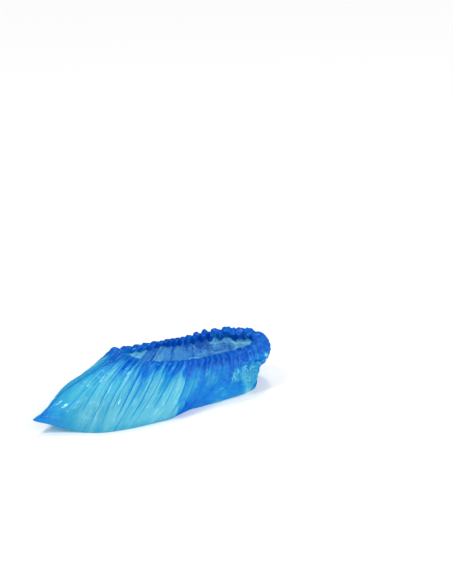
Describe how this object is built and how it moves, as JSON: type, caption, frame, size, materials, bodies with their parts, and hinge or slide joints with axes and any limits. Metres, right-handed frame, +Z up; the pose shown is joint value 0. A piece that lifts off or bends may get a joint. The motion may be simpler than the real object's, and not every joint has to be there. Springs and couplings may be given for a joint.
{
  "type": "shoe cover",
  "caption": "Thin translucent blue film overshoe in its worn form, with a gathered elastic hem and a pointed welded toe.",
  "frame": {"origin": "under the middle of the cover's bounding box, on the surface that the flat sole stands on", "axes": "+Z up; +Y towards the heel, so the toe points along -Y; +X towards the inner side of a right foot"},
  "size_m": [0.1218, 0.3496, 0.0744],
  "materials": {
    "blue_film": "thin translucent film, glossy where it is creased",
    "gathered_film": "doubled and gathered film",
    "welded_film": "heat-welded film, two layers",
    "elastic": "matte"
  },
  "bodies": {
    "root": {"film_body": "blue_film", "gathered_hem": "gathered_film", "elastic_cord": "elastic", "toe_seam": "welded_film", "heel_seam": "welded_film"}
  },
  "joints": []
}
